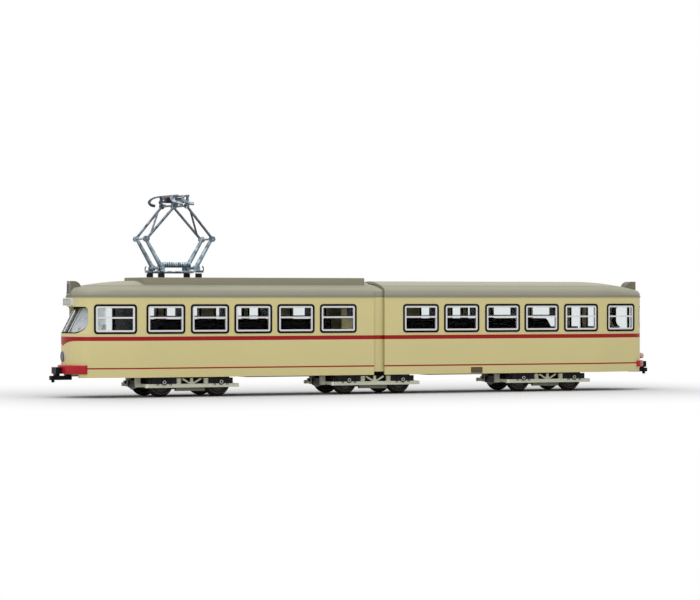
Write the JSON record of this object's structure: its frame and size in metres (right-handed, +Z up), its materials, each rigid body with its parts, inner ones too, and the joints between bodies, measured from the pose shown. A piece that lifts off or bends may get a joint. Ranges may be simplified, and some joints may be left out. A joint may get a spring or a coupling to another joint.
{
  "type": "articulated tram model",
  "caption": "Small-scale model of a two-section articulated tram on bogies, hinged at a drum over the middle bogie, with a folding diamond current collector on the roof.",
  "frame": {"origin": "middle of the model's outline at the height of the wheel flanges' lowest points, under the joint between the sections", "axes": "-X towards the front with the current collector, +Z up, -Y the side with windows only"},
  "size_m": [0.2317, 0.0278, 0.0688],
  "materials": {
    "cream_plastic": "satin",
    "roof_plastic": "matt",
    "board_plastic": "matt",
    "black_rubber": "satin",
    "silver_plastic": "printed silver",
    "clear_plastic": "clear",
    "black_plastic": "matt",
    "heavy_metal": "blackened",
    "red_plastic": "satin",
    "white_plastic": "satin",
    "ivory_plastic": "satin",
    "dark_plastic": "satin",
    "wheel_steel": "blackened",
    "panto_steel": "painted blue-grey",
    "lamp_plastic": "gloss",
    "tail_plastic": "gloss",
    "box_plastic": "matt"
  },
  "bodies": {
    "front_section": {"front_shell": "cream_plastic", "front_roof": "roof_plastic", "front_gaskets": "black_rubber", "front_frames": "silver_plastic", "front_glazing": "clear_plastic", "front_chassis": "black_plastic", "motor_block": "heavy_metal", "cab_partition": "black_plastic", "front_bumper": "red_plastic", "front_coupler": "black_plastic", "destination_display": "white_plastic", "headlight": "lamp_plastic", "front_number_box": "box_plastic", "roof_board": "board_plastic", "drum_wall": "cream_plastic", "drum_roof": "roof_plastic", "pantograph_base": "panto_steel", "pantograph_springs": "panto_steel", "pantograph_feet": "dark_plastic"},
    "rear_section": {"rear_shell": "cream_plastic", "rear_roof": "roof_plastic", "rear_gaskets": "black_rubber", "rear_frames": "silver_plastic", "rear_glazing": "clear_plastic", "rear_chassis": "black_plastic", "weight_block": "heavy_metal", "rear_seats": "black_plastic", "rear_bumper": "red_plastic", "rear_coupler": "black_plastic", "tail_lamps": "tail_plastic", "rear_number_box": "box_plastic"},
    "front_bogie": {"front_bogie_frame": "ivory_plastic", "front_axle_boxes": "dark_plastic"},
    "front_wheelset_1": {"front_wheelset_1": "wheel_steel"},
    "front_wheelset_2": {"front_wheelset_2": "wheel_steel"},
    "middle_bogie": {"middle_bogie_frame": "ivory_plastic", "middle_axle_boxes": "dark_plastic"},
    "middle_wheelset_1": {"middle_wheelset_1": "wheel_steel"},
    "middle_wheelset_2": {"middle_wheelset_2": "wheel_steel"},
    "rear_bogie": {"rear_bogie_frame": "ivory_plastic", "rear_axle_boxes": "dark_plastic"},
    "rear_wheelset_1": {"rear_wheelset_1": "wheel_steel"},
    "rear_wheelset_2": {"rear_wheelset_2": "wheel_steel"},
    "lower_arm_front": {"lower_arm_front": "panto_steel"},
    "lower_arm_rear": {"lower_arm_rear": "panto_steel"},
    "upper_frame_front": {"upper_frame_front": "panto_steel"},
    "upper_frame_rear": {"upper_frame_rear": "panto_steel"},
    "collector_head": {"collector_head": "panto_steel"}
  },
  "joints": [
    {"name": "articulation", "type": "hinge", "parent": "front_section", "child": "rear_section", "pos_m": [0, 0, 0.012], "axis": [0, 0, 1], "range_deg": [-15, 15]},
    {"name": "front_bogie_swivel", "type": "hinge", "parent": "front_section", "child": "front_bogie", "pos_m": [-0.0686, 0, 0.0105], "axis": [0, 0, 1], "range_deg": [-10, 10]},
    {"name": "front_wheelset_1_roll", "type": "hinge", "parent": "front_bogie", "child": "front_wheelset_1", "pos_m": [-0.07895, 0, 0.00505], "axis": [0, 1, 0], "continuous": true},
    {"name": "front_wheelset_2_roll", "type": "hinge", "parent": "front_bogie", "child": "front_wheelset_2", "pos_m": [-0.05825, 0, 0.00505], "axis": [0, 1, 0], "continuous": true},
    {"name": "middle_bogie_swivel", "type": "hinge", "parent": "front_section", "child": "middle_bogie", "pos_m": [0, 0, 0.0105], "axis": [0, 0, 1], "range_deg": [-7.5, 7.5]},
    {"name": "middle_wheelset_1_roll", "type": "hinge", "parent": "middle_bogie", "child": "middle_wheelset_1", "pos_m": [-0.01035, 0, 0.00505], "axis": [0, 1, 0], "continuous": true},
    {"name": "middle_wheelset_2_roll", "type": "hinge", "parent": "middle_bogie", "child": "middle_wheelset_2", "pos_m": [0.01035, 0, 0.00505], "axis": [0, 1, 0], "continuous": true},
    {"name": "rear_bogie_swivel", "type": "hinge", "parent": "rear_section", "child": "rear_bogie", "pos_m": [0.0686, 0, 0.0105], "axis": [0, 0, 1], "range_deg": [-10, 10]},
    {"name": "rear_wheelset_1_roll", "type": "hinge", "parent": "rear_bogie", "child": "rear_wheelset_1", "pos_m": [0.05825, 0, 0.00505], "axis": [0, 1, 0], "continuous": true},
    {"name": "rear_wheelset_2_roll", "type": "hinge", "parent": "rear_bogie", "child": "rear_wheelset_2", "pos_m": [0.07895, 0, 0.00505], "axis": [0, 1, 0], "continuous": true},
    {"name": "pantograph_fold", "type": "hinge", "parent": "front_section", "child": "lower_arm_front", "pos_m": [-0.0769, 0, 0.0439], "axis": [0, -1, 0], "range_deg": [-8, 38], "stiffness_Nm_per_rad": 0.004, "springref_deg": -1.66},
    {"name": "rear_arm_fold", "type": "hinge", "parent": "front_section", "child": "lower_arm_rear", "pos_m": [-0.0645, 0, 0.0439], "axis": [0, 1, 0], "range_deg": [-8, 38]},
    {"name": "front_elbow", "type": "hinge", "parent": "lower_arm_front", "child": "upper_frame_front", "pos_m": [-0.0827, 0, 0.0538], "axis": [0, 1, 0], "range_deg": [-15.52, 73.72]},
    {"name": "rear_elbow", "type": "hinge", "parent": "lower_arm_rear", "child": "upper_frame_rear", "pos_m": [-0.0587, 0, 0.0538], "axis": [0, -1, 0], "range_deg": [-15.52, 73.72]},
    {"name": "head_level", "type": "hinge", "parent": "upper_frame_front", "child": "collector_head", "pos_m": [-0.0728, 0, 0.0651], "axis": [0, -1, 0], "range_deg": [-7.52, 35.72]}
  ],
  "couplings": [
    {"joint": "rear_arm_fold", "follows": "pantograph_fold", "ratio": 1},
    {"joint": "front_elbow", "follows": "pantograph_fold", "ratio": 1.94},
    {"joint": "rear_elbow", "follows": "pantograph_fold", "ratio": 1.94},
    {"joint": "head_level", "follows": "pantograph_fold", "ratio": 0.94},
    {"joint": "middle_bogie_swivel", "follows": "articulation", "ratio": 0.5}
  ]
}
